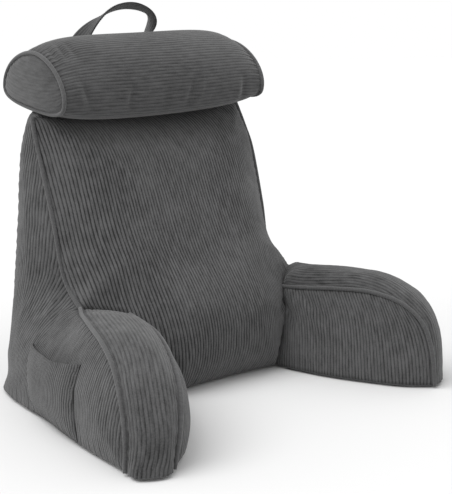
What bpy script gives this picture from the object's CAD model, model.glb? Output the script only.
import math

import bmesh
import bpy
import numpy as np
from mathutils import Matrix, Vector
from mathutils.bvhtree import BVHTree
from mathutils.kdtree import KDTree


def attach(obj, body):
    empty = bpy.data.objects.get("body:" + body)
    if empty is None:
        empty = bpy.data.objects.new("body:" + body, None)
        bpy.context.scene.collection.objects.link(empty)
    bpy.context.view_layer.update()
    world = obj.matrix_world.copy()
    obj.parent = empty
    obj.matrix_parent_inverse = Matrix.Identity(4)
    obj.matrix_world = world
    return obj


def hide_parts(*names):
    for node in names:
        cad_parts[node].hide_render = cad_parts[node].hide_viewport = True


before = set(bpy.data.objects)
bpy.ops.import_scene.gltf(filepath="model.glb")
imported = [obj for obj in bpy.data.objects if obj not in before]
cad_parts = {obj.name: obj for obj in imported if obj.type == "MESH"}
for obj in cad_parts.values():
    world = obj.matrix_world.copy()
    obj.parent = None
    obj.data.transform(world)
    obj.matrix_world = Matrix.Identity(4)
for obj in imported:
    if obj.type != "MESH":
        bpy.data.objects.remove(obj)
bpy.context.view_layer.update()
bpy.ops.object.select_all(action="DESELECT")
mergeWithin = 2e-5

# one side of the cover: half width, forward, height of each seam, before the shift to the origin
seams = {
    "back": [(0.239, -0.006, 0.492), (0.240, 0.012, 0.445), (0.238, 0.034, 0.400),
             (0.233, 0.070, 0.300), (0.225, 0.104, 0.205), (0.242, 0.145, 0.159)],
    "armOuter": [(0.242, 0.145, 0.159), (0.271, 0.200, 0.163), (0.300, 0.262, 0.169),
                 (0.326, 0.327, 0.169), (0.349, 0.392, 0.164), (0.368, 0.450, 0.145),
                 (0.381, 0.488, 0.110), (0.389, 0.506, 0.062), (0.393, 0.508, 0.006)],
    "armInner": [(0.182, 0.208, 0.150), (0.204, 0.280, 0.153), (0.228, 0.356, 0.156),
                 (0.257, 0.431, 0.154), (0.284, 0.494, 0.141), (0.304, 0.536, 0.113),
                 (0.319, 0.552, 0.067), (0.332, 0.545, 0.006)],
    "armEnd": [(0.242, 0.145, 0.159), (0.217, 0.177, 0.174), (0.182, 0.208, 0.150)],
    "corner": [(0.182, 0.208, 0.150), (0.172, 0.230, 0.100), (0.152, 0.243, 0.050),
               (0.138, 0.244, 0.006)],
    "rear": [(0.216, -0.050, 0.502), (0.238, -0.056, 0.430), (0.252, -0.056, 0.300),
             (0.267, -0.053, 0.160), (0.276, -0.042, 0.060), (0.268, -0.024, 0.006)],
    "outerFoot": [(0.268, -0.024), (0.326, 0.003), (0.350, 0.070), (0.360, 0.148),
                  (0.366, 0.230), (0.378, 0.310), (0.388, 0.400), (0.393, 0.508)],
    "innerFoot": [(0.138, 0.244), (0.160, 0.290), (0.196, 0.366), (0.240, 0.440),
                  (0.286, 0.508), (0.332, 0.545)],
}
sides = {
    "left": {"sign": -1, "turn": 0.0, "reach": 1.0, "frontBow": 0.006, "topLift": -0.002,
             "stripCrown": [(0.0, 0.002), (0.10, 0.008), (0.25, 0.018), (0.45, 0.023), (1.0, 0.026)],
             "innerCrown": 0.014},
    "right": {"sign": 1, "turn": math.radians(7.0), "reach": 0.85, "frontBow": -0.004, "topLift": 0.010,
              "stripCrown": [(0.0, 0.022), (0.10, 0.024), (0.45, 0.024), (0.75, 0.016), (1.0, 0.006)],
              "innerCrown": 0.007},
}
# the two sides were sewn and stuffed a little differently: what each seam's rows shift by
seamEase = {
    "left": {
        "back": [(0, 0, 0), (0.001, -0.001, 0), (0.004, -0.005, 0), (0.007, -0.010, 0),
                 (0.013, -0.017, 0), (0, 0, 0)],
        "armEnd": [(0, 0, 0), (0, 0, -0.016), (0, 0, 0)],
        "armInner": [(0, 0, 0), (0, 0, 0), (0.003, 0, 0), (0.006, -0.002, 0), (0.007, -0.003, 0),
                     (0.006, -0.003, 0), (0.004, -0.002, 0), (0, 0, 0)],
        "armOuter": 7 * [(0, 0, 0)] + [(0, 0.005, 0), (0, 0.008, 0)],
        "outerFoot": 7 * [(0, 0)] + [(0, 0.008)],
    },
    "right": {
        "back": [(-0.008, 0, 0), (0, 0, 0), (0.003, 0, 0), (0.002, 0, 0), (0, 0, 0), (0, 0, 0.014)],
        "armOuter": [(0, 0, 0.014), (0, 0, 0.009), (0, 0, 0.005), (0, 0, 0.004), (0, 0.003, 0.008),
                     (0, 0.012, 0.009), (0, 0.008, 0.003), (0, 0, 0), (0, 0, 0)],
        "armInner": [(0, 0, 0), (0, 0, 0.002), (0, 0, 0.006), (0, 0.005, 0.011), (0, 0.014, 0.011),
                     (0, 0.018, 0.007), (0, 0.014, 0.003), (-0.005, 0.022, 0)],
        "armEnd": [(0, 0, 0.014), (0, 0, 0.010), (0, 0, 0)],
        "innerFoot": [(0, 0), (-0.008, 0.012), (-0.013, 0.018), (-0.015, 0.020), (-0.014, 0.020),
                      (-0.005, 0.022)],
    },
}
cover = {
    "shift": (0.02320, 0.20464, 0.0),
    "armRoot": (0.215, 0.165), "armStart": 0.12, "armBlend": 0.10,
    "topLiftStart": 0.30, "footRow": 3, "footLift": 0.006, "footRounding": 0.010,
    "frontFootBow": 0.008, "topBow": -0.014,
    "rowsUp": 50, "rowsLow": 24, "end": 9, "middle": 36, "deep": 14, "arm": 46,
    "crown": {"front": (0.050, 0.125), "side": (0.027, 0.150), "strip": (None, None),
              "inner": (0.007, 0.060), "rear": (0.025, 0.120), "top": (0.006, 0.030)},
    "stripReach": [(0.0, 0.034), (0.6, 0.034), (1.0, 0.020)], "crownPower": 0.88, "relaxRounds": 200,
    "swellMost": 0.005, "swellRounds": 5, "swellFrames": 20,
}
stuffing = {"quality": 5, "mass": 0.3, "tension_stiffness": 15, "compression_stiffness": 15,
            "shear_stiffness": 5, "bending_stiffness": 0.5, "use_pressure": True,
            "uniform_pressure_force": 4.0, "shrink_min": -0.012, "vertex_group_mass": "held"}
corduroy = {"pitch": 0.0063, "height": 0.0011, "fade": 0.004, "drape": 1.04, "edge": 0.10, "samples": 6,
            "waver": (0.0007, 31, 3, 13, 17),
            "profile": [(0.0, 0.0), (0.22, 0.85), (0.50, 1.0), (0.78, 0.85)],
            # how high the wales stand, how dark their grooves are and how fresh the nap is on each panel
            "relief": {"front": (1.0, 1.0, 1.0), "side": (0.9, 0.75, 0.93), "strip": (0.7, 0.5, 0.76),
                       "inner": (0.9, 0.75, 1.0), "rear": (1.0, 0.9, 1.0), "top": (1.0, 0.9, 1.0)}}
# where the cloth is pulled into folds: line's two ends, half width, height of the ridge or hollow
folds = [
    ((0.206, -0.004, 0.146), (0.197, -0.072, 0.102), 0.0065, 0.0060),
    ((0.208, -0.002, 0.128), (0.190, -0.052, 0.088), 0.0060, -0.0054),
    ((0.209, -0.013, 0.151), (0.202, -0.120, 0.087), 0.0070, 0.0050),
    ((0.209, -0.030, 0.146), (0.206, -0.150, 0.100), 0.0060, -0.0026),
    ((0.201, -0.004, 0.118), (0.185, -0.040, 0.066), 0.0055, 0.0030),
    ((-0.009, 0.165, 0.460), (0.003, 0.123, 0.419), 0.0080, -0.0022),
    ((0.030, 0.158, 0.452), (0.048, 0.120, 0.412), 0.0100, -0.0016),
    ((-0.111, 0.113, 0.403), (-0.118, 0.079, 0.334), 0.0100, -0.0020),
    ((-0.170, 0.125, 0.380), (-0.165, 0.095, 0.320), 0.0090, 0.0018),
    ((-0.264, -0.035, 0.168), (-0.284, -0.111, 0.178), 0.0060, -0.0034),
    ((-0.289, -0.083, 0.167), (-0.327, -0.191, 0.163), 0.0060, -0.0022),
    ((-0.231, 0.007, 0.166), (-0.241, -0.079, 0.181), 0.0070, -0.0030),
    ((-0.250, -0.015, 0.168), (-0.266, -0.100, 0.180), 0.0050, 0.0024),
    ((-0.233, 0.098, 0.172), (-0.290, 0.062, 0.120), 0.0090, -0.0030),
    ((-0.236, 0.110, 0.190), (-0.275, 0.105, 0.150), 0.0080, 0.0024),
    ((-0.010, -0.055, 0.081), (0.117, -0.046, 0.106), 0.0120, -0.0020),
    ((0.140, -0.030, 0.140), (0.060, -0.045, 0.120), 0.0110, 0.0018),
    ((0.262, -0.010, 0.172), (0.262, 0.090, 0.110), 0.0090, -0.0026),
    ((0.000, 0.262, 0.300), (0.070, 0.262, 0.380), 0.0140, -0.0018),
    ((-0.120, 0.262, 0.180), (-0.060, 0.262, 0.100), 0.0140, -0.0018),
]
foldShape = {"past": 0.35, "flat": 0.8, "fade": 0.85}
pucker = {"height": 0.0014, "period": 0.019, "fall": 0.011, "clear": 0.003, "shift": 0.037,
          "sway": (2.2, 19)}


def spline(rows, steps=16):
    rows = np.array(rows, dtype=float)
    ends = np.vstack([2 * rows[0] - rows[1], rows, 2 * rows[-1] - rows[-2]])
    out = []
    for index in range(len(rows) - 1):
        before, start, stop, after = ends[index:index + 4]
        for t in np.arange(steps) / steps:
            out.append(0.5 * (2 * start + (stop - before) * t
                              + (2 * before - 5 * start + 4 * stop - after) * t ** 2
                              + (3 * start - before - 3 * stop + after) * t ** 3))
    out.append(rows[-1])
    return np.array(out)


def reachOf(path):
    # how far along its path each point is
    return np.concatenate([[0.0], np.cumsum(np.linalg.norm(np.diff(path, axis=0), axis=1))])


def sampled(rows, reach, wanted):
    return np.stack([np.interp(wanted, reach, column) for column in rows.T], axis=-1)


def spread(curve, count):
    reach = reachOf(curve)
    return sampled(curve, reach, np.linspace(0.0, reach[-1], count + 1))


def unit(rows):
    return rows / np.maximum(np.linalg.norm(rows, axis=-1)[..., None], 1e-12)


def evened(rows, rounds):
    out = rows.copy()
    for _ in range(rounds):
        out[1:-1] = (out[:-2] + 2 * out[1:-1] + out[2:]) / 4
    return out


def straight(start, stop, count):
    return np.linspace(np.asarray(start), np.asarray(stop), count + 1)


def bowed(points, axis, height):
    out = points.copy()
    out[:, axis] += height * np.sin(np.linspace(0.0, math.pi, len(points)))
    return out


def patch(left, right, bottom, top):
    v = np.linspace(0.0, 1.0, len(left))[:, None, None]
    u = np.linspace(0.0, 1.0, len(bottom))[None, :, None]
    across = (1 - u) * left[:, None, :] + u * right[:, None, :]
    along = (1 - v) * bottom[None, :, :] + v * top[None, :, :]
    corners = ((1 - u) * (1 - v) * bottom[0] + u * (1 - v) * bottom[-1]
               + (1 - u) * v * top[0] + u * v * top[-1])
    return across + along - corners


def placed(rows, side):
    rows = np.array(rows, dtype=float)
    if rows.shape[1] == 2:
        rows = np.column_stack([rows, np.full(len(rows), cover["footLift"])])
    one, root = sides[side], cover["armRoot"]
    share = np.clip((rows[:, 1] - cover["armStart"]) / cover["armBlend"], 0.0, 1.0)
    out, ahead = rows[:, 0] - root[0], rows[:, 1] - root[1]
    turn, scale = one["turn"] * share, 1.0 + (one["reach"] - 1.0) * share
    halfWidth = root[0] + scale * (out * np.cos(turn) - ahead * np.sin(turn))
    forward = root[1] + scale * (out * np.sin(turn) + ahead * np.cos(turn))
    start = cover["topLiftStart"]
    lift = np.clip((rows[:, 2] - start) / (seams["back"][0][2] - start), 0.0, 1.0)
    points = np.column_stack([one["sign"] * halfWidth, -forward, rows[:, 2] + one["topLift"] * lift])
    return points + np.array(cover["shift"])


def sideCurves(side):
    up, low, arm, foot = cover["rowsUp"], cover["rowsLow"], cover["arm"], cover["footRow"]
    eased = {name: np.array(rows) + np.array(seamEase[side].get(name, 0.0)) for name, rows in seams.items()}
    rows = {"back": (eased["back"], up), "outer": (eased["armOuter"], arm + low),
            "inner": (eased["armInner"], arm + low), "end": (eased["armEnd"], cover["end"]),
            "corner": (eased["corner"], low), "rear": (eased["rear"], up + low),
            "footBack": (eased["outerFoot"][:foot + 1], cover["deep"]),
            "footArm": (eased["outerFoot"][foot:], arm), "footInner": (eased["innerFoot"], arm)}
    curves = {name: spread(spline(placed(line, side)), count) for name, (line, count) in rows.items()}
    curves["wall"] = straight(curves["back"][-1], curves["footArm"][0], low)
    curves["top"] = straight(curves["back"][0], curves["rear"][0], cover["deep"])
    return curves


def weld(grids):
    # the panels share the points along their seams
    stacked = np.vstack([grid.reshape(-1, 3) for grid in grids.values()])
    tree = treeOf(stacked)
    first = np.array([min(hit[1] for hit in tree.find_range(point, mergeWithin)) for point in stacked])
    kept, place = np.unique(first, return_inverse=True)
    indices, start = {}, 0
    for name, grid in grids.items():
        count = grid.shape[0] * grid.shape[1]
        indices[name] = place[start:start + count].reshape(grid.shape[:2])
        start += count
    return stacked[kept], indices


def quadsOf(indices):
    quads = []
    for grid in indices.values():
        quads.append(np.stack([grid[:-1, :-1], grid[:-1, 1:], grid[1:, 1:], grid[1:, :-1]],
                              axis=-1).reshape(-1, 4))
    return np.vstack(quads)


def edgesOf(quads):
    # every edge once, and how many faces it has
    edges = np.vstack([quads[:, [k, (k + 1) % 4]] for k in range(4)])
    return np.unique(np.sort(edges, axis=1), axis=0, return_counts=True)


def relaxed(points, quads, free, rounds):
    edges, _ = edgesOf(quads)
    count = np.bincount(edges.ravel(), minlength=len(points))[:, None]
    out = points.copy()
    for _ in range(rounds):
        total = np.zeros_like(out)
        for axis in range(3):
            total[:, axis] = (np.bincount(edges[:, 0], out[edges[:, 1], axis], len(out))
                              + np.bincount(edges[:, 1], out[edges[:, 0], axis], len(out)))
        out[free] += 0.5 * (total / count - out)[free]
    return out


def normalsOf(points, quads):
    across = np.cross(points[quads[:, 2]] - points[quads[:, 0]], points[quads[:, 3]] - points[quads[:, 1]])
    normals = np.zeros_like(points)
    for corner in range(4):
        np.add.at(normals, quads[:, corner], across)
    return unit(normals)


def treeOf(points):
    tree = KDTree(len(points))
    for index, point in enumerate(points):
        tree.insert(point, index)
    tree.balance()
    return tree


def meshObject(name, points, faces):
    mesh = bpy.data.meshes.new(name)
    mesh.from_pydata(points.tolist(), [], faces)
    made = bpy.data.objects.new(name, mesh)
    bpy.context.scene.collection.objects.link(made)
    return made


def stuffed(points, faces, pinned, most):
    # air pressure in the closed cover, seams held: small swellings and pulls between the seams
    work = meshObject("stuffing", points, faces)
    group = work.vertex_groups.new(name="held")
    group.add([int(index) for index in np.flatnonzero(pinned)], 1.0, "REPLACE")
    cloth = work.modifiers.new("cloth", "CLOTH")
    for key, value in stuffing.items():
        setattr(cloth.settings, key, value)
    cloth.settings.effector_weights.gravity = 0.0
    cloth.collision_settings.use_collision = False
    cloth.point_cache.frame_end = cover["swellFrames"]
    for number in range(cover["swellFrames"]):
        bpy.context.scene.frame_set(number + 1)
    shape = work.evaluated_get(bpy.context.evaluated_depsgraph_get()).to_mesh()
    moved = np.empty(len(points) * 3)
    shape.vertices.foreach_get("co", moved)
    bpy.context.scene.frame_set(1)
    bpy.data.objects.remove(work)
    shift = moved.reshape(-1, 3) - points
    length = np.linalg.norm(shift, axis=1)[:, None]
    return points + shift * np.minimum(1.0, most / np.maximum(length, 1e-9))


def cubic(t):
    return np.stack([-0.5 * t + t ** 2 - 0.5 * t ** 3, 1 - 2.5 * t ** 2 + 1.5 * t ** 3,
                     0.5 * t + 2 * t ** 2 - 1.5 * t ** 3, -0.5 * t ** 2 + 0.5 * t ** 3], axis=-1)


def alongRows(grid, at):
    # smooth values between a grid's columns; at holds a column number for each row and point
    before, after = 2 * grid[:, :1] - grid[:, 1:2], 2 * grid[:, -1:] - grid[:, -2:-1]
    padded = np.concatenate([before, grid, after], axis=1)
    cell = np.clip(np.floor(at).astype(int), 0, grid.shape[1] - 2)
    weights = cubic(at - cell)
    for row in (0, -1):  # the outer rows keep to the straight edges that the next panel shares
        part = at[row] - cell[row]
        weights[row] = np.stack([0 * part, 1 - part, part, 0 * part], axis=-1)
    rows = np.arange(len(grid))[:, None]
    return sum(weights[..., k, None] * padded[rows, cell + k] for k in range(4))


def seated(rows, surface):
    # each fold's ends put on the surface, with the way out between them
    out = []
    for start, stop, width, height in rows:
        first, last = [surface.find_nearest(Vector(end)) for end in (start, stop)]
        way = first[1] + last[1]
        out.append((np.array(first[0]), np.array(last[0]), width, height, np.array(way.normalized())))
    return out


def folded(points, rows):
    # ridges and hollows along their lines, fading at the ends
    lift = np.zeros(len(points))
    for start, stop, width, height, way in rows:
        line = stop - start
        along = np.clip((points - start) @ line / (line @ line), -foldShape["past"], 1 + foldShape["past"])
        apart = points - start - along[:, None] * line
        apart -= foldShape["flat"] * (apart @ way)[:, None] * way
        apart = np.linalg.norm(apart, axis=1)
        fall = np.cos((along - 0.5) / foldShape["fade"] * math.pi / 2) ** 2
        lift += height * np.exp(-(apart / width) ** 2) * fall
    return lift


def seamWalk(lines):
    # all seams as one tree, and how far along its seam each point is
    places, reach = [], []
    for number, line in enumerate(lines):
        dense = spread(spline(line, 4), 6 * len(line))
        places.append(dense)
        reach.append(reachOf(dense) + pucker["shift"] * number)
    return treeOf(np.vstack(places)), np.concatenate(reach)


def walePanel(place, out, seams, relief, count=None, plane=None, gathers=pucker, creases=()):
    # fine points of one panel: a row for each row of the grid, a column for each slope of a wale
    seamTree, seamReach = seams
    last = place.shape[1] - 1
    dense = np.tile(np.linspace(0, last, corduroy["samples"] * last + 1), (place.shape[0], 1))
    line = alongRows(place, dense)
    across = np.stack([reachOf(row) for row in line])
    pitch = corduroy["pitch"]
    if count:
        across *= count * pitch / across[:, [-1]]
    if plane:  # the straight grain follows planes along one axis, or partly so
        axis, zero, sign, mix = plane
        level = sign * (line[..., axis] - zero)
        arc = across - crossings(level, across)[:, None]
        across = mix * level * corduroy["drape"] + (1 - mix) * arc * np.sign((arc * level).sum())
    x, y, z = np.moveaxis(line, -1, 0)
    size, upward, bend, sideways, inward = corduroy["waver"]
    across = across + size * np.sin(z * upward + bend * np.sin(x * sideways) + y * inward)
    wales = np.arange(math.floor(across.min() / pitch), math.ceil(across.max() / pitch) + 1)
    phases = np.array([phase for phase, _ in corduroy["profile"]])
    heights = np.tile([share for _, share in corduroy["profile"]], len(wales))
    wanted = ((wales[:, None] + phases[None, :]) * pitch).ravel()
    columns = np.stack([np.interp(wanted, row, at) for row, at in zip(across, dense)])
    edge = corduroy["edge"] * pitch
    low, high = across[:, :1], across[:, -1:]
    inside = (wanted[None, :] > low + edge) & (wanted[None, :] < high - edge)
    rows = len(place)
    columns = np.hstack([np.zeros((rows, 1)), columns, np.full((rows, 1), place.shape[1] - 1.0)])
    clothAt = np.hstack([low, np.tile(wanted, (rows, 1)), high])
    rise = [share for _, share in corduroy["profile"]]
    ends = [np.interp(end / pitch % 1.0, phases, rise, period=1.0) for end in (low, high)]
    heights = np.hstack([ends[0], np.tile(heights, (rows, 1)), ends[1]])
    keep = np.hstack([np.ones((rows, 1), bool), inside, np.ones((rows, 1), bool)])
    number = np.cumsum(keep.ravel()).reshape(keep.shape) - 1
    index = number.copy()
    index[:, 1:-1] = np.where(inside, number[:, 1:-1],
                              np.where(wanted[None, :] <= low + edge, number[:, :1], number[:, -1:]))
    surface = alongRows(place, columns)
    outwards = unit(alongRows(out, columns))
    length = np.stack([reachOf(surface[:, k]) for k in range(surface.shape[1])], axis=1)
    flat, flatOut = surface[keep], outwards[keep]
    found = [seamTree.find(point)[1:] for point in flat]
    near = np.array([distance for _, distance in found])
    reach = seamReach[[index for index, _ in found]]
    fade = np.clip(near / corduroy["fade"], 0.0, 1.0)
    sway, turns = pucker["sway"]
    ripple = np.sin(2 * math.pi * reach / gathers["period"] + sway * np.sin(reach * turns))
    lift = gathers["height"] * ripple * np.exp(-near / gathers["fall"])
    lift *= 1 - np.exp(-near / pucker["clear"])
    under = flat + flatOut * ((lift + folded(flat, creases)) * fade)[:, None]
    flat = under + flatOut * (heights[keep] * fade * corduroy["height"] * relief[0])[:, None]
    cloth = np.stack([clothAt[keep] / pitch, length[keep] / pitch], axis=1)
    facing = np.cross(place[1:, :-1] - place[:-1, :-1], place[:-1, 1:] - place[:-1, :-1])
    turned = (facing * out[:-1, :-1]).sum() > 0
    faces = []
    for lower, upper in zip(index[:-1], index[1:]):
        changes = np.flatnonzero((lower[1:] != lower[:-1]) | (upper[1:] != upper[:-1]))
        for k in changes:
            ring = []
            for corner in (lower[k], lower[k + 1], upper[k + 1], upper[k]):
                if int(corner) not in ring:
                    ring.append(int(corner))
            if len(ring) > 2:
                faces.append(tuple(ring[::-1] if turned else ring))
    return {"points": flat, "faces": faces, "cloth": cloth, "nap": fade * relief[2], "under": under,
            "out": flatOut, "groove": np.full(len(flat), relief[1])}


def crossings(level, across):
    # where each row meets the plane; beyond the row's ends the cloth is thought straight
    out = []
    for row, reach in zip(level, across):
        if row[0] > row[-1]:
            row, reach = row[::-1], reach[::-1]
        sign = 1 if reach[-1] > reach[0] else -1
        if row[0] > 0:
            out.append(reach[0] - sign * row[0])
        elif row[-1] < 0:
            out.append(reach[-1] - sign * row[-1])
        else:
            out.append(np.interp(0.0, np.maximum.accumulate(row), reach))
    return np.array(out)


def joinPanels(name, panels, tube=False):
    # one mesh of all panels: cloth coordinates in a UV map, nap and groove depth as attributes
    faces, slots, total = [], [], 0
    for panel in panels:
        faces += [tuple(i + total for i in face) for face in panel["faces"]]
        slots += len(panel["faces"]) * [panel.get("slot", 0)]
        total += len(panel["points"])
    piece = meshObject(name, np.vstack([panel["points"] for panel in panels]), faces)
    mesh = piece.data
    cloth = np.vstack([panel["cloth"] for panel in panels])
    layer = mesh.uv_layers.new(name="cloth")
    loops = np.empty(len(mesh.loops), dtype=int)
    mesh.loops.foreach_get("vertex_index", loops)
    layer.data.foreach_set("uv", cloth[loops].ravel())
    for key in ("nap", "groove"):
        attribute = mesh.attributes.new(key, "FLOAT", "POINT")
        attribute.data.foreach_set("value", np.concatenate([panel[key] for panel in panels]))
    mesh.polygons.foreach_set("material_index", slots)
    work = bmesh.new()
    work.from_mesh(mesh)
    bmesh.ops.remove_doubles(work, verts=work.verts, dist=mergeWithin)
    if tube:
        bmesh.ops.recalc_face_normals(work, faces=work.faces)
    work.to_mesh(mesh)
    work.free()
    mesh.shade_smooth()
    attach(piece, "root")
    return piece


def tubeFaces(rows, around, start=0, ring=False):
    # quads between rings of points, and caps unless the tube is itself a ring
    faces = []
    for row in range(rows if ring else rows - 1):
        for k in range(around):
            corners = ((row, k), (row, k + 1), (row + 1, k + 1), (row + 1, k))
            faces.append(tuple(start + a % rows * around + b % around for a, b in corners))
    if not ring:
        ends = [[start + row * around + k for k in range(around)] for row in (0, rows - 1)]
        faces += [tuple(ends[0][::-1]), tuple(ends[1])]
    return faces


def tubePiece(name, points, faces, cloth, groove=0.0):
    return joinPanels(name, [{"points": points, "faces": faces, "cloth": cloth, "nap": np.ones(len(points)),
                              "groove": np.full(len(points), groove)}], tube=True)


def coverPanels():
    left, right = sideCurves("left"), sideCurves("right")
    columns = cover["middle"] + 2 * cover["end"]
    arm = cover["arm"]
    frontTop = bowed(straight(left["back"][0], right["back"][0], columns), 2, cover["topBow"])
    rearTop = bowed(straight(left["rear"][0], right["rear"][0], columns), 2, cover["topBow"])
    rearFoot = straight(left["rear"][-1], right["rear"][-1], columns)
    middle = straight(left["corner"][0], right["corner"][0], cover["middle"])
    frontFoot = bowed(straight(left["corner"][-1], right["corner"][-1], cover["middle"]), 1,
                      cover["frontFootBow"])
    junction = np.vstack([left["end"], middle[1:-1], right["end"][::-1]])
    grids = {
        "frontUpper": patch(left["back"][::-1], right["back"][::-1], junction, frontTop),
        "frontLower": patch(left["corner"][::-1], right["corner"][::-1], frontFoot, middle),
        "rear": patch(left["rear"][::-1], right["rear"][::-1], rearFoot, rearTop),
        "top": patch(left["top"], right["top"], frontTop, rearTop),
    }
    lines = {"frontTop": frontTop, "frontFoot": frontFoot, "rearFoot": rearFoot}
    for side, curves in (("left", left), ("right", right)):
        edge = np.vstack([curves["back"], curves["wall"][1:]])
        grids["backSide_" + side] = patch(curves["rear"][::-1], edge[::-1], curves["footBack"],
                                          curves["top"][::-1])
        grids["armSide_" + side] = patch(curves["wall"][::-1], curves["outer"][arm:][::-1],
                                         curves["footArm"], curves["outer"][:arm + 1])
        grids["inner_" + side] = patch(curves["inner"][arm:][::-1], curves["corner"][::-1],
                                       curves["footInner"][::-1], curves["inner"][:arm + 1][::-1])
        strip = np.stack([straight(a, b, cover["end"]) for a, b in zip(curves["outer"], curves["inner"])])
        strip[0] = curves["end"]
        out = strip[-1][0] - strip[-1][-1]
        ahead = np.array([-out[1], out[0], 0.0]) / np.linalg.norm(out)
        ahead *= -math.copysign(sides[side]["frontBow"], ahead[1])
        strip[-1] += np.sin(np.linspace(0.0, math.pi, cover["end"] + 1))[:, None] * ahead
        grids["strip_" + side] = strip
        for name in ("back", "outer", "inner", "end", "corner", "rear", "top", "footBack", "footArm",
                     "footInner"):
            lines[name + "_" + side] = curves[name]
        lines["frontEdge_" + side] = strip[-1]
    return grids, lines


def crownOf(name):
    key = name.split("_")[0]
    wider = {"frontUpper": "front", "frontLower": "front", "backSide": "side", "armSide": "side"}
    return wider.get(key, key)


def facingOut(points, indices):
    # outward test by ray: a panel faces out when few other faces lie ahead of it
    facing = {}
    quads = quadsOf(indices)
    surface = BVHTree.FromPolygons(points.tolist(), quads.tolist())
    for name, grid in indices.items():
        own = quadsOf({name: grid})
        picks = own[:: max(1, len(own) // 25)]
        vote = 0
        for quad in picks:
            spot = Vector(points[quad].mean(axis=0))
            normal = Vector(np.cross(points[quad[2]] - points[quad[0]],
                                     points[quad[3]] - points[quad[1]])).normalized()
            ahead = surface.ray_cast(spot + normal * 1e-4, normal)[0]
            behind = surface.ray_cast(spot - normal * 1e-4, -normal)[0]
            vote += (ahead is None) - (behind is None)
        facing[name] = grid[:, ::-1] if vote < 0 else grid
    return facing


def crowned(points, indices, free, seamTree):
    normals = normalsOf(points, quads)
    crown = np.zeros(len(points))
    reach = np.ones(len(points))
    apart = np.array([seamTree.find(point)[2] for point in points])
    free = free.copy()
    for name, grid in indices.items():
        if not name.startswith("strip"):
            crown[grid.ravel()], reach[grid.ravel()] = cover["crown"][crownOf(name)]
        if name.startswith("inner"):
            crown[grid] = sides[name[6:]]["innerCrown"]
        if name.startswith("strip"):  # domed across, down to the floor at the arm's front
            rows = np.array(sides[name[6:]]["stripCrown"])
            along = np.linspace(0, 1, len(grid))
            crown[grid] = np.interp(along, rows[:, 0], rows[:, 1])[:, None]
            rows = np.array(cover["stripReach"])
            reach[grid] = np.interp(along, rows[:, 0], rows[:, 1])[:, None]
            edge = treeOf(np.vstack([points[grid[:, 0]], points[grid[:, -1]], points[grid[0]]]))
            apart[grid] = [[edge.find(points[i])[2] for i in row] for row in grid]
            free[grid[-1, 1:-1]] = True
            level = normals[grid[-1]] * np.array([1, 1, 0])
            normals[grid[-1]] = level / np.linalg.norm(level, axis=1)[:, None]
    share = np.minimum(apart / reach, 1.0)
    lift = crown * (1.0 - (1.0 - share) ** 2) ** cover["crownPower"]
    out = points.copy()
    out[free] += (normals * lift[:, None])[free]
    out[:, 2] = np.maximum(out[:, 2], cover["footLift"])
    return out


grids, lines = coverPanels()
points, indices = weld(grids)
seamPoints = treeOf(np.vstack(list(lines.values())))
free = np.array([seamPoints.find(point)[2] > 1e-5 for point in points])
denseSeams = treeOf(np.vstack([spread(line, 4 * (len(line) - 1)) for line in lines.values()]))
quads = quadsOf(facingOut(points, indices))
points = relaxed(points, quads, free, cover["relaxRounds"])
points = crowned(points, indices, free, denseSeams)
print("cover:", len(points), "points")


def footRing(quads):
    # the open bottom edge, in order
    edges, count = edgesOf(quads)
    rim = {}
    for a, b in edges[count == 1]:
        rim.setdefault(int(a), []).append(int(b))
        rim.setdefault(int(b), []).append(int(a))
    start = min(rim)
    ring, previous = [start], None
    while True:
        step = [other for other in rim[ring[-1]] if other != previous][0]
        previous = ring[-1]
        if step == start:
            return ring
        ring.append(step)


ring = footRing(quads)
closed = [list(quad) for quad in quads.tolist()]
sunk = points[ring] * np.array([1, 1, 0])
heart = len(points) + len(ring)
work = np.vstack([points, sunk, sunk.mean(axis=0)])
for k in range(len(ring)):
    after = (k + 1) % len(ring)
    closed.append([ring[k], ring[after], len(points) + after, len(points) + k])
    closed.append([len(points) + k, len(points) + after, heart])
mesh = bpy.data.meshes.new("closed")
mesh.from_pydata(work.tolist(), [], closed)
fixed = bmesh.new()
fixed.from_mesh(mesh)
bmesh.ops.recalc_face_normals(fixed, faces=fixed.faces)
fixed.faces.ensure_lookup_table()
closed = [[vert.index for vert in face.verts] for face in fixed.faces]
fixed.free()
held = np.concatenate([~free, np.ones(len(ring) + 1, bool)])
swelling = stuffed(work, closed, held, cover["swellMost"])[:len(points)] - points
points = points + relaxed(swelling, quads, free, cover["swellRounds"])
points[:, 2] = np.maximum(points[:, 2], cover["footLift"])
print("cover stuffed")

normals = normalsOf(points, quads)
coverSeams = seamWalk(lines.values())
coverSurface = BVHTree.FromPolygons(points.tolist(), quads.tolist())
creases = seated(folds, coverSurface)
panels = []
middleOf = cover["shift"]
grain = {"front": (0, middleOf[0], 1, 0.5), "rear": (0, middleOf[0], 1, 0.3),
         "top": (0, middleOf[0], 1, 1.0), "side": (1, middleOf[1], -1, 1.0)}
for name, grid in indices.items():
    panels.append(walePanel(points[grid], normals[grid], coverSeams, corduroy["relief"][crownOf(name)],
                            plane=grain.get(crownOf(name)), creases=creases))


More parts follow.
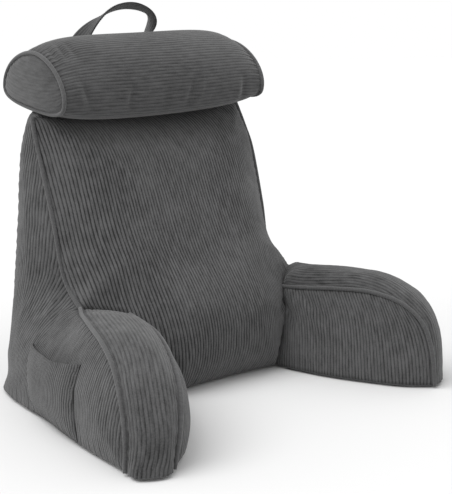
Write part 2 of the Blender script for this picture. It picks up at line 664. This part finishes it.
def underside(points, ring):
    # rounds in from the bottom seam and lies flat on the floor
    heads = points[ring]
    along = unit(np.roll(heads, -1, axis=0) - np.roll(heads, 1, axis=0))
    inwards = np.column_stack([-along[:, 1], along[:, 0], np.zeros(len(ring))])
    area = np.sum(heads[:, 0] * np.roll(heads[:, 1], -1) - np.roll(heads[:, 0], -1) * heads[:, 1])
    inner = heads + inwards * math.copysign(cover["footRounding"], area)
    inner[:, 2] = 0.0
    mesh = bmesh.new()
    outerVerts = [mesh.verts.new(place) for place in heads]
    innerVerts = [mesh.verts.new(place) for place in inner]
    for k in range(len(ring)):
        after = (k + 1) % len(ring)
        mesh.faces.new((outerVerts[k], outerVerts[after], innerVerts[after], innerVerts[k]))
    mesh.faces.ensure_lookup_table()
    edges = [mesh.edges.get((innerVerts[k], innerVerts[(k + 1) % len(ring)])) for k in range(len(ring))]
    bmesh.ops.triangle_fill(mesh, use_beauty=True, edges=edges, normal=(0, 0, -1))
    for face in mesh.faces:
        if face.normal.z > 0:
            face.normal_flip()
    mesh.verts.index_update()
    flat = np.array([vert.co[:] for vert in mesh.verts])
    faces = [tuple(vert.index for vert in face.verts) for face in mesh.faces]
    mesh.free()
    return {"points": flat, "faces": faces, "cloth": flat[:, :2] / corduroy["pitch"], "slot": 1,
            "nap": np.zeros(len(flat)), "groove": np.zeros(len(flat))}


panels.append(underside(points, ring))
pieceCover = joinPanels("corduroyCover", panels)
print("cover with wales:", len(pieceCover.data.polygons), "faces")
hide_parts("cushion_body")

# the half-moon roll that lies on the back's top seam
bolster = {
    "halfLength": 0.2255, "halfDepth": 0.114, "rise": 0.105, "drop": 0.044,
    "end": (0.965, 0.66), "endLift": 0.007, "topPower": 1.8, "flatPower": 3.2,
    "forward": -0.0216, "height": 0.5390, "tilt": math.radians(9.1), "roll": math.radians(2.7),
    "capCrown": 0.015, "capPower": 0.6, "capGrid": (25, 17), "endFall": ((0.4, 3), (0.6, 8)),
    "wales": 94, "stations": 132, "around": 120,
    "relief": (0.6, 0.5, 1.0), "capRelief": (0.25, 0.15, 0.74),
    "gathers": {"height": 0.0014, "period": 0.0125, "fall": 0.016},
}
# folds in the roll's cloth: low in front, and by the left cap
rollFolds = [
    ((-0.160, 0.119, 0.551), (-0.150, 0.115, 0.510), 0.0065, -0.0052),
    ((-0.176, 0.119, 0.549), (-0.168, 0.117, 0.512), 0.0060, 0.0030),
    ((-0.058, 0.114, 0.540), (-0.066, 0.116, 0.506), 0.0065, -0.0046),
    ((-0.074, 0.114, 0.540), (-0.082, 0.116, 0.508), 0.0060, 0.0026),
    ((0.084, 0.115, 0.556), (0.066, 0.115, 0.510), 0.0070, -0.0052),
    ((0.101, 0.115, 0.552), (0.086, 0.115, 0.512), 0.0060, 0.0030),
    ((0.204, 0.115, 0.556), (0.202, 0.125, 0.512), 0.0065, -0.0048),
    ((0.190, 0.115, 0.552), (0.186, 0.122, 0.514), 0.0055, 0.0026),
    ((-0.184, 0.205, 0.615), (-0.189, 0.158, 0.590), 0.0045, -0.0034),
    ((-0.167, 0.202, 0.622), (-0.172, 0.153, 0.593), 0.0045, -0.0040),
    ((-0.153, 0.189, 0.622), (-0.154, 0.154, 0.600), 0.0050, -0.0032),
    ((0.020, 0.116, 0.536), (0.010, 0.118, 0.510), 0.0080, -0.0024),
]


def halfMoon(angle):
    # depth and height of the outline about its centre
    cosine, sine = np.cos(angle), np.sin(angle)
    power = np.where(sine > 0, bolster["topPower"], bolster["flatPower"])
    rise = np.where(sine > 0, bolster["rise"], bolster["drop"])
    return (bolster["halfDepth"] * np.sign(cosine) * np.abs(cosine) ** (2 / power),
            rise * np.sign(sine) * np.abs(sine) ** (2 / power))


def bolsterPoint(x, depth, height):
    cosine, sine = math.cos(bolster["tilt"]), math.sin(bolster["tilt"])
    centre = (bolster["height"] + bolster["endLift"] * (x / bolster["halfLength"]) ** 2
              + x * math.tan(bolster["roll"]))
    place = np.stack([x + 0 * depth, -bolster["forward"] + depth * cosine - height * sine,
                      centre + depth * sine + height * cosine], axis=-1)
    return place + np.array(cover["shift"])


def drawnIn(share):
    # how much smaller the roll is towards its ends
    fall = sum(part * np.abs(share) ** power for part, power in bolster["endFall"])
    return [1.0 - (1.0 - end) * fall for end in bolster["end"]]


def wrapNormals(grid):
    along, across = np.gradient(grid, axis=0), np.gradient(grid, axis=1)
    across[:, 0] = across[:, -1] = (grid[:, 1] - grid[:, -2]) / 2
    return unit(np.cross(across, along))


def wrapPart():
    share = np.sin(0.5 * math.pi * np.linspace(-1, 1, bolster["stations"] + 1))
    angle = np.linspace(-0.5 * math.pi, 1.5 * math.pi, bolster["around"] + 1)
    depth, height = halfMoon(angle)
    scaleDepth, scaleHeight = drawnIn(share)
    x = share * bolster["halfLength"]
    grid = bolsterPoint(x[:, None] + 0 * depth[None, :], depth[None, :] * scaleDepth[:, None],
                        height[None, :] * scaleHeight[:, None])
    outwards = wrapNormals(grid)
    middle = bolster["stations"] // 2
    if (outwards[middle] * (grid[middle] - grid[middle].mean(axis=0))).sum() < 0:
        outwards = -outwards
    corners = np.arange(grid.shape[0] * grid.shape[1]).reshape(grid.shape[:2])
    surface = BVHTree.FromPolygons(grid.reshape(-1, 3).tolist(), quadsOf({"wrap": corners}).tolist())
    return grid, walePanel(grid, outwards, seamWalk([grid[0], grid[-1]]), bolster["relief"],
                           bolster["wales"], gathers=bolster["gathers"], creases=seated(rollFolds, surface))


def capPart(side):
    columns, rows = bolster["capGrid"]
    share = np.sin(0.5 * math.pi * np.linspace(-1, 1, columns))
    fraction = np.linspace(0, 1, rows)
    depth = bolster["halfDepth"] * share
    top = bolster["rise"] * (1 - np.abs(share) ** bolster["topPower"]) ** (1 / bolster["topPower"])
    low = -bolster["drop"] * (1 - np.abs(share) ** bolster["flatPower"]) ** (1 / bolster["flatPower"])
    height = low[:, None] + (top - low)[:, None] * fraction[None, :]
    size = np.where(height > 0, bolster["rise"], bolster["drop"])
    power = np.where(height > 0, bolster["topPower"], bolster["flatPower"])
    radius = (np.abs(share[:, None]) ** power + np.abs(height / size) ** power) ** (1 / power)
    bulge = bolster["capCrown"] * np.maximum(1 - np.minimum(radius, 1.0) ** 2, 0) ** bolster["capPower"]
    x = side * (bolster["halfLength"] + bulge)
    grid = bolsterPoint(x, depth[:, None] * bolster["end"][0] + 0 * x, height * bolster["end"][1])
    outwards = np.zeros_like(grid)
    outwards[..., 0] = side
    return walePanel(grid, outwards, seamWalk([grid[:, 0], grid[:, -1]]), bolster["capRelief"])


wrapGrid, wrap = wrapPart()
pieceBolster = joinPanels("corduroyBolster", [wrap, capPart(-1), capPart(1)])
print("bolster with wales:", len(pieceBolster.data.polygons), "faces")
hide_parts("bolster")

# cords sewn into the seams
piping = {"radius": 0.0038, "sunk": 0.0012, "step": 0.0035, "around": 10, "rib": (0.00018, 0.7, 0.8),
          "groove": 0.2, "seamReach": 0.012, "smooth": 6, "capPoints": 157, "capLean": (0.8, 0.6)}


def pipingPiece(name, path, outwards, closed, slot, node):
    # a covered cord on the bias: its wales cross it slantwise
    path = path + outwards * (piping["radius"] - piping["sunk"])
    looped = np.roll(path, -1, axis=0) - np.roll(path, 1, axis=0)
    ahead = unit(looped if closed else np.gradient(path, axis=0))
    out = unit(outwards - ahead * (outwards * ahead).sum(axis=1)[:, None])
    over = np.cross(ahead, out)
    angles = np.linspace(0, 2 * math.pi, piping["around"], endpoint=False)
    phase = reachOf(path)[:, None] / corduroy["pitch"] + angles[None, :] / (2 * math.pi)
    rib, power, middle = piping["rib"]
    radius = piping["radius"] + rib * (np.abs(np.sin(math.pi * phase)) ** power - middle)
    tube = path[:, None] + radius[..., None] * (np.cos(angles)[None, :, None] * out[:, None]
                                                + np.sin(angles)[None, :, None] * over[:, None])
    cloth = np.stack([phase, np.tile(angles / (2 * math.pi), (len(path), 1))], axis=-1).reshape(-1, 2)
    piece = tubePiece(name, tube.reshape(-1, 3), tubeFaces(*radius.shape, ring=closed), cloth,
                      piping["groove"])
    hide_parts(node)
    return piece


def seamPath(line):
    # a seam's path and the way out between its two panels
    path = spread(spline(line, 6), max(8, round(reachOf(line)[-1] / piping["step"])))
    out = []
    for point in path:
        total = Vector()
        for _, normal, _, _ in coverSurface.find_nearest_range(Vector(point), piping["seamReach"]):
            total += normal
        out.append(total.normalized()[:])
    return path, unit(evened(np.array(out), piping["smooth"]))


pipings = []
for side, row in (("left", 0), ("right", -1)):
    outer = np.vstack([lines["back_" + side], lines["outer_" + side][1:]])
    for place, line in (("outer", outer), ("inner", lines["inner_" + side])):
        pipings.append(pipingPiece("piping%s%s" % (place.title(), side.title()), *seamPath(line), False,
                                   "piping", "piping_%s_%s" % (place, side)))
    path = spread(wrapGrid[row], piping["capPoints"])[:-1]
    across, along = piping["capLean"]
    out = unit(path - path.mean(axis=0)) * across + np.array([sides[side]["sign"] * along, 0, 0])
    pipings.append(pipingPiece("bolsterPiping" + side.title(), path, out, True, "piping",
                               "bolster_piping_" + side))
print("pipings:", len(pipings))

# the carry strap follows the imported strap's cross-sections
strap = {"thickness": 0.0030, "width": 0.038, "step": 0.004, "smooth": 4, "wales": 6, "rise": 0.0006,
         "groove": 0.6, "sewnBelow": 0.462, "liftOff": 0.480, "clear": 0.0015,
         "seam": 0.79, "seamWidth": 0.06, "seamDepth": 0.0005, "stitchRise": 0.0002,
         "boxRows": 7, "boxInset": 0.004,
         # how far the band is turned about itself, in degrees, by share of its length
         "turn": [(0.0, 0), (0.22, 0), (0.36, -32), (0.5, -36), (0.64, 10), (0.78, 0), (1.0, 0)]}
# a stitch's shape: how far along, its share of the thread's radius, its height in radii
thread = {"radius": 0.00042, "length": 0.0030, "pitch": 0.0042, "first": 0.15, "around": 6, "twist": 900,
          "shape": [(0.0, 0.25, -0.9), (0.12, 0.75, 0.0), (0.35, 1.0, 0.55), (0.65, 1.0, 0.55),
                    (0.88, 0.75, 0.0), (1.0, 0.25, -0.9)]}


def strapRings():
    # four corners for each section, from one sewn end to the other
    node = bpy.data.objects["carry_handle"]
    mesh = bmesh.new()
    mesh.from_mesh(node.data)
    mesh.transform(node.matrix_world)
    bmesh.ops.remove_doubles(mesh, verts=mesh.verts, dist=1e-5)
    middle = sum(vert.co.x for vert in mesh.verts) / len(mesh.verts)
    ring = sorted((vert for vert in mesh.verts if vert.co.x < middle), key=lambda vert: vert.co.z)[:4]
    rings, seen = [], set(ring)
    while len(ring) == 4:
        rings.append(np.array([vert.co[:] for vert in ring]))
        after = {edge.other_vert(vert) for vert in ring for edge in vert.link_edges} - seen
        seen |= after
        ring = sorted(after, key=lambda vert: vert.index)
    mesh.free()
    first = rings[0]
    # itself, then across the thickness, across the width, across both
    rings[0] = first[np.argsort(np.linalg.norm(first - first[0], axis=1))]
    for k in range(1, len(rings)):
        before, here = rings[k - 1] - rings[k - 1].mean(axis=0), rings[k] - rings[k].mean(axis=0)
        rings[k] = rings[k][[int(np.argmin(np.linalg.norm(here - corner, axis=1))) for corner in before]]
    return np.array(rings)


def strapPath():
    rings = strapRings()
    centre = evened(rings.mean(axis=1), strap["smooth"])
    side = evened(rings[:, 2] + rings[:, 3] - rings[:, 0] - rings[:, 1], strap["smooth"])
    dense = spline(np.hstack([centre, side]), 6)
    reach = reachOf(dense[:, :3])
    wanted = np.linspace(0, reach[-1], round(reachOf(centre)[-1] / strap["step"]) + 1)
    dense = sampled(dense, reach, wanted)
    centre, side = dense[:, :3], unit(dense[:, 3:])
    seat, lean = [], []
    for spot in centre:  # its ends lie on the rear panel
        near = coverSurface.find_nearest(Vector(spot))
        seat.append(near[0] + near[1] * (strap["thickness"] / 2 + strap["clear"]))
        lean.append(near[1])
    share = np.clip((strap["liftOff"] - centre[:, [2]]) / (strap["liftOff"] - strap["sewnBelow"]), 0, 1)
    share = share * share * (3 - 2 * share)
    centre = centre * (1 - share) + np.array(seat) * share
    ahead = unit(np.gradient(centre, axis=0))
    side = unit(side - ahead * (side * ahead).sum(axis=1)[:, None])
    rows = spread(spline([(share, math.radians(angle), 0.0) for share, angle in strap["turn"]]), 60)
    turn = np.interp(np.linspace(0, 1, len(side)), rows[:, 0], rows[:, 1])[:, None]
    side = side * np.cos(turn) + np.cross(ahead, side) * np.sin(turn)
    out = np.cross(ahead, side)
    if (out[0] * np.array(lean[0])).sum() < 0:
        out = -out
    return centre, ahead, side, out, wanted


def strapPiece():
    centre, ahead, side, out, reach = strapPath()
    across = np.linspace(-1, 1, 4 * strap["wales"] + 1)
    shape = np.tile([share for _, share in corduroy["profile"]], strap["wales"] + 1)[:len(across)]
    rise = strap["thickness"] / 2 * np.sqrt(1 - np.abs(across) ** 8) + strap["rise"] * shape
    rise -= strap["seamDepth"] * np.exp(-((np.abs(across) - strap["seam"]) / strap["seamWidth"]) ** 2)
    rise[[0, -1]] = 0
    loop = np.concatenate([across, across[-2:0:-1]])
    heights = np.concatenate([rise, -rise[-2:0:-1]])
    points = (centre[:, None] + side[:, None] * (loop * strap["width"] / 2)[None, :, None]
              + out[:, None] * heights[None, :, None])
    rows, around = points.shape[:2]
    cloth = np.stack([np.tile((loop + 1) / 2 * strap["wales"], (rows, 1)),
                      np.tile(reach[:, None] / corduroy["pitch"], (1, around))], axis=-1).reshape(-1, 2)
    piece = tubePiece("strapHandle", points.reshape(-1, 3), tubeFaces(rows, around), cloth, strap["groove"])
    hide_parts("carry_handle")
    return piece, (centre, ahead, side, out)


def stitchPiece(name, runs):
    # short lengths of thread, each dipping into the cloth at both ends; a run is a path and its outward way
    along, swell, bend = np.array(thread["shape"]).T
    radius, around = thread["radius"], thread["around"]
    angles = np.linspace(0, 2 * math.pi, around, endpoint=False)
    points, faces = [], []
    for path, outwards in runs:
        reach = reachOf(path)
        count = max(1, int(reach[-1] / thread["pitch"]))
        for start in (np.arange(count) + thread["first"]) * reach[-1] / count:
            spots = sampled(path, reach, start + along * thread["length"])
            up = unit(sampled(outwards, reach, start))
            over = np.cross(unit(spots[-1] - spots[0]), up)
            ring = np.cos(angles)[:, None] * up + np.sin(angles)[:, None] * over
            faces += tubeFaces(len(along), around, len(points))
            for spot, size, height in zip(spots, swell, bend):
                points += list(spot + up * height * radius + ring * size * radius)
    points = np.array(points)
    piece = tubePiece(name, points, faces, points[:, :2] * thread["twist"])
    return piece


def strapStitches(centre, ahead, side, out):
    # two long rows on both faces, and a crossed square at each sewn end
    half, high = strap["thickness"] / 2 + strap["stitchRise"], strap["boxRows"]
    inset = side * strap["seam"] * strap["width"] / 2
    runs = [(centre + inset * edge + out * face * half, out * face) for edge in (-1, 1) for face in (-1, 1)]
    for first, last in ((0, high), (-1, -1 - high)):
        corners = []
        for row, edge in ((first, -1), (first, 1), (last, 1), (last, -1)):
            step = strap["boxInset"] * (1 if first == 0 else -1) if row == first else 0.0
            corners.append(centre[row] + ahead[row] * step + inset[row] * edge
                           + out[row] * (half + strap["rise"]))
        for a, b in ((0, 1), (2, 3), (0, 2), (1, 3)):
            runs.append((spread(np.array([corners[a], corners[b]]), 6), np.tile(out[first], (7, 1))))
    return stitchPiece("strapStitches", runs)


pieceStrap, strapLine = strapPiece()
strapThread = strapStitches(*strapLine)
print("strap:", len(pieceStrap.data.polygons), "faces, stitches:", len(strapThread.data.polygons))

# the patch pocket: a sheet sewn to the side panel at three edges
pocket = {"edges": ((0.184, 0.116, 0.107), (0.370, 0.358, 0.127)), "foot": 0.010, "stand": 0.022,
          "standPower": (0.55, 0.6), "sag": 0.006, "thickness": 0.0018, "columns": 36, "rows": 24,
          "hem": 0.017, "hemRise": 0.0006, "hemSlope": 0.0015, "hemLine": 0.0012, "hemDepth": 0.0007,
          "clear": 0.0016, "relief": (1.0, 1.0, 1.0), "smooth": 8, "grain": 0.5,
          "stitchRise": (0.0009, 0.0006)}


def pocketGrid():
    places, outwards = [], []
    for v in np.linspace(0, 1, pocket["rows"] + 1):
        row, rowOut = [], []
        for u in np.linspace(0, 1, pocket["columns"] + 1):
            foot, mouth, top = [low + (high - low) * u for low, high in zip(*pocket["edges"])]
            forward = foot + (mouth - foot) * v
            top -= pocket["sag"] * math.sin(math.pi * u)
            height = pocket["foot"] + (top - pocket["foot"]) * v
            start = Vector((-1.0, cover["shift"][1] - forward, height))
            spot, normal, _, _ = coverSurface.ray_cast(start, Vector((1, 0, 0)))
            out = Vector((normal.x, normal.y, 0)).normalized()
            swell = math.sin(math.pi * u) ** pocket["standPower"][0] if 0 < u < 1 else 0.0
            swell *= math.sin(0.5 * math.pi * v) ** pocket["standPower"][1]
            row.append(spot + normal * pocket["clear"] + out * pocket["stand"] * swell)
            rowOut.append(out)
        places.append(row)
        outwards.append(rowOut)
    places = np.array(places)
    for _ in range(pocket["smooth"]):  # lies smoothly over the small creases below it
        places = evened(evened(places, 1).transpose(1, 0, 2), 1).transpose(1, 0, 2)
    for row in places:
        for place in row:
            near, normal, _, _ = coverSurface.find_nearest(Vector(place))
            short = pocket["clear"] - (Vector(place) - near).dot(normal)
            if short > 0:
                place += np.array(normal) * short
    return places, np.array(outwards)


def pocketPiece():
    place, out = pocketGrid()
    tall = np.linalg.norm(np.diff(place, axis=0), axis=2).sum(axis=0)
    out = unit(np.cross(np.gradient(place, axis=1), np.gradient(place, axis=0)))
    if (out * np.array([-1.0, 0, 0])).sum() < 0:
        out = -out
    edges = seamWalk([place[:, 0], place[0], place[:, -1]])
    panel = walePanel(place, out, edges, pocket["relief"], plane=(1, middleOf[1], -1, pocket["grain"]))
    below = tall.max() - panel["cloth"][:, 1] * corduroy["pitch"] - pocket["hem"]
    lift = pocket["hemRise"] * np.clip(-below / pocket["hemSlope"], 0, 1)
    lift -= pocket["hemDepth"] * np.exp(-(below / pocket["hemLine"]) ** 2)
    panel["points"] = panel["points"] + panel["out"] * lift[:, None]
    back = dict(panel, points=panel["under"] - panel["out"] * pocket["thickness"],
                groove=0 * panel["groove"], faces=[face[::-1] for face in panel["faces"]])
    count = len(panel["points"])
    edges = {pair: 1 for face in panel["faces"] for pair in zip(face, face[1:] + face[:1])}
    rim = [(b, a, a + count, b + count) for a, b in edges if (b, a) not in edges]
    both = {key: np.concatenate([panel[key], back[key]]) for key in ("points", "cloth", "nap", "groove")}
    both["faces"] = panel["faces"] + [tuple(i + count for i in face) for face in back["faces"]] + rim
    piece = joinPanels("pocketCloth", [both])
    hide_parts("side_pocket")
    hem = []
    for line, way in zip(place.transpose(1, 0, 2), out.transpose(1, 0, 2)):
        reach = reachOf(line)
        hem.append(sampled(np.hstack([line, way]), reach, reach[-1] - pocket["hem"]))
    hem = np.array(hem)
    high, low = pocket["stitchRise"]
    runs = [(line + way * high, way) for line, way in ((place[:, 1], out[:, 1]), (place[:, -2], out[:, -2]),
                                                       (place[1], out[1]))]
    runs.append((hem[:, :3] + hem[:, 3:] * low, hem[:, 3:]))
    stitches = stitchPiece("pocketStitches", runs)
    return piece, stitches


piecePocket, pocketThread = pocketPiece()


# finishes: wales from the cloth's own coordinates, streaks, blotches, pile and rubbed places
fibre = {"Sheen Weight": 0.22, "Sheen Roughness": 0.55, "Specular IOR Level": 0.12}
look = {"roughness": (60.0, 2.0, 0.86, 0.98), "crest": (0.02, 0.30), "ridge": 0.78, "groove": 0.72,
        "wear": 0.55, "weave": (26.0, 0.3, 0.6), "along": (1.0, 0.22, 1.0), "streak": (1.1, 3.0),
        "blotch": (11.0, 4.0), "fuzz": (420.0, 2.0), "pile": (950.0, 3.0),
        "bumpHeight": 0.0008, "bumpRidge": 0.35, "noiseSpan": (0.3, 0.7)}


def clothFinish(name, light, dark, streak=0.5, blotch=0.35, fuzz=0.3, bump=0.35, weave=False):
    finish = bpy.data.materials.new(name)
    finish.use_nodes = True
    nodes, links = finish.node_tree.nodes, finish.node_tree.links

    def node(kind, inputs, output=0, **values):
        made = nodes.new("ShaderNode" + kind)
        for key, value in values.items():
            setattr(made, key, value)
        for key, value in inputs.items():
            if isinstance(value, bpy.types.NodeSocket):
                links.new(value, made.inputs[key])
            else:
                made.inputs[key].default_value = value
        return made.outputs[output]

    def maths(operation, *values, clamp=False):
        return node("Math", dict(enumerate(values)), operation=operation, use_clamp=clamp)

    def noise(vector, scale, detail):
        return node("TexNoise", {"Vector": vector, "Scale": scale, "Detail": detail}, "Fac")

    def uneven(vector, scale, detail, low, high):
        least, most = look["noiseSpan"]
        return node("MapRange", {"Value": noise(vector, scale, detail), "From Min": least,
                                 "From Max": most, "To Min": low, "To Max": high}, "Result")

    cloth = node("UVMap", {}, "UV", uv_map="cloth")
    across = node("SeparateXYZ", {0: cloth}).node.outputs
    place = node("TexCoord", {}, "Object")
    if weave:  # plain cloth: over and under in turn
        turns, size, middle = look["weave"]
        wave = [maths("SINE", maths("MULTIPLY", across[axis], turns)) for axis in ("X", "Y")]
        value = ridge = maths("MULTIPLY_ADD", maths("MULTIPLY", *wave), size, middle)
    else:
        low, high = look["crest"]
        slope = maths("PINGPONG", across["X"], 0.5)
        ridge = node("MapRange", {"Value": slope, "From Min": low, "From Max": high}, "Result",
                     interpolation_type="SMOOTHSTEP")
        depth = node("Attribute", {}, "Fac", attribute_name="groove")
        hollow = maths("MULTIPLY", maths("SUBTRACT", 1.0, ridge), maths("MULTIPLY", depth, look["groove"]))
        value = maths("SUBTRACT", look["ridge"], hollow)
    stretched = node("Mapping", {"Vector": cloth, "Scale": look["along"]})
    for key, vector, size in (("streak", stretched, streak), ("blotch", place, blotch),
                              ("fuzz", place, fuzz)):
        value = maths("ADD", value, uneven(vector, *look[key], -0.5 * size, 0.5 * size))
    nap = node("Attribute", {}, "Fac", attribute_name="nap")
    worn = maths("MULTIPLY", maths("SUBTRACT", nap, 1.0), look["wear"])
    value = maths("ADD", value, worn, clamp=True)
    colour = node("Mix", {"A": (*dark, 1), "B": (*light, 1), "Factor": value}, "Result", data_type="RGBA")
    height = maths("ADD", noise(place, *look["pile"]), maths("MULTIPLY", ridge, look["bumpRidge"]))
    raised = node("Bump", {"Strength": bump, "Distance": look["bumpHeight"], "Height": height}, "Normal")
    shader = nodes["Principled BSDF"].inputs
    for key, value in fibre.items():
        shader[key].default_value = value
    for key, value in (("Base Color", colour), ("Roughness", uneven(place, *look["roughness"])),
                       ("Normal", raised)):
        links.new(value, shader[key])
    return finish


def grey(level):
    return (level, level, level * 1.012)


finishes = {
    "cover": clothFinish("greyCorduroy", grey(0.092), grey(0.013)),
    "base": clothFinish("baseCloth", grey(0.070), grey(0.020), weave=True),
    "bolster": clothFinish("bolsterCorduroy", grey(0.072), grey(0.014), streak=0.45, blotch=0.3),
    "piping": clothFinish("pipingCorduroy", grey(0.086), grey(0.026), streak=0.3, blotch=0.25),
    "strap": clothFinish("strapCorduroy", grey(0.062), grey(0.016), streak=0.4),
    "pocket": clothFinish("pocketCorduroy", grey(0.082), grey(0.014), streak=0.45),
    "thread": clothFinish("greyThread", grey(0.120), grey(0.050), streak=0.2, blotch=0.1, weave=True),
}
dressed = [(pieceCover, ("cover", "base")), (pieceBolster, ("bolster",)), (pieceStrap, ("strap",)),
           (piecePocket, ("pocket",)), (strapThread, ("thread",)), (pocketThread, ("thread",))]
dressed += [(piece, ("piping",)) for piece in pipings]
for piece, names in dressed:
    for name in names:
        piece.data.materials.append(finishes[name])

# room, light and camera: the floor is as bright as the room behind it, so no line parts them
room = {"background": 1.002, "floorTint": 0.705, "floorSize": 400, "sun": 1.8,
        "sunWay": (-0.54, 0.06, 0.82), "sunSpread": math.radians(50)}
camera = {"azimuth": math.radians(-38.0907), "elevation": math.radians(9.7013), "distance": 1.9918,
          "aim": (0.0030358, -0.25, 0.2558684), "roll": math.radians(-0.7553), "focalPixels": 1101.16,
          "imageHeight": 494}
bpy.ops.mesh.primitive_plane_add(size=room["floorSize"], location=(0, 0, 0))
floor = bpy.context.object
floor.name = "paleFloor"
pale = bpy.data.materials.new("paleFloor")
pale.use_nodes = True
paleShader = pale.node_tree.nodes["Principled BSDF"]
paleShader.inputs["Base Color"].default_value = (*3 * [room["floorTint"]], 1)
paleShader.inputs["Roughness"].default_value = 1.0
paleShader.inputs["Specular IOR Level"].default_value = 0.0
floor.data.materials.append(pale)
world = bpy.data.worlds.new("studio")
world.use_nodes = True
world.node_tree.nodes["Background"].inputs["Color"].default_value = (1, 1, 1, 1)
world.node_tree.nodes["Background"].inputs["Strength"].default_value = room["background"]
bpy.context.scene.world = world
sun = bpy.data.lights.new("softSun", "SUN")
sun.energy = room["sun"]
sun.angle = room["sunSpread"]
lamp = bpy.data.objects.new("softSun", sun)
lamp.rotation_euler = Vector(room["sunWay"]).to_track_quat("Z", "Y").to_euler()
bpy.context.scene.collection.objects.link(lamp)

azimuth, elevation, roll = camera["azimuth"], camera["elevation"], camera["roll"]
back = Vector((math.sin(azimuth) * math.cos(elevation), -math.cos(azimuth) * math.cos(elevation),
               math.sin(elevation)))
right = (-back).cross(Vector((0, 0, 1))).normalized()
up = right.cross(-back)
right, up = right * math.cos(roll) + up * math.sin(roll), up * math.cos(roll) - right * math.sin(roll)
lens = bpy.data.cameras.new("studioCamera")
lens.sensor_fit = "VERTICAL"
lens.sensor_height = 36.0
lens.lens = camera["focalPixels"] * 36.0 / camera["imageHeight"]
view = bpy.data.objects.new("studioCamera", lens)
bpy.context.scene.collection.objects.link(view)
place = Vector(camera["aim"]) + Vector(cover["shift"]) + back * camera["distance"]
view.matrix_world = Matrix(((right.x, up.x, back.x, place.x), (right.y, up.y, back.y, place.y),
                            (right.z, up.z, back.z, place.z), (0, 0, 0, 1)))
bpy.context.scene.camera = view
bpy.context.scene.view_settings.view_transform = "Standard"
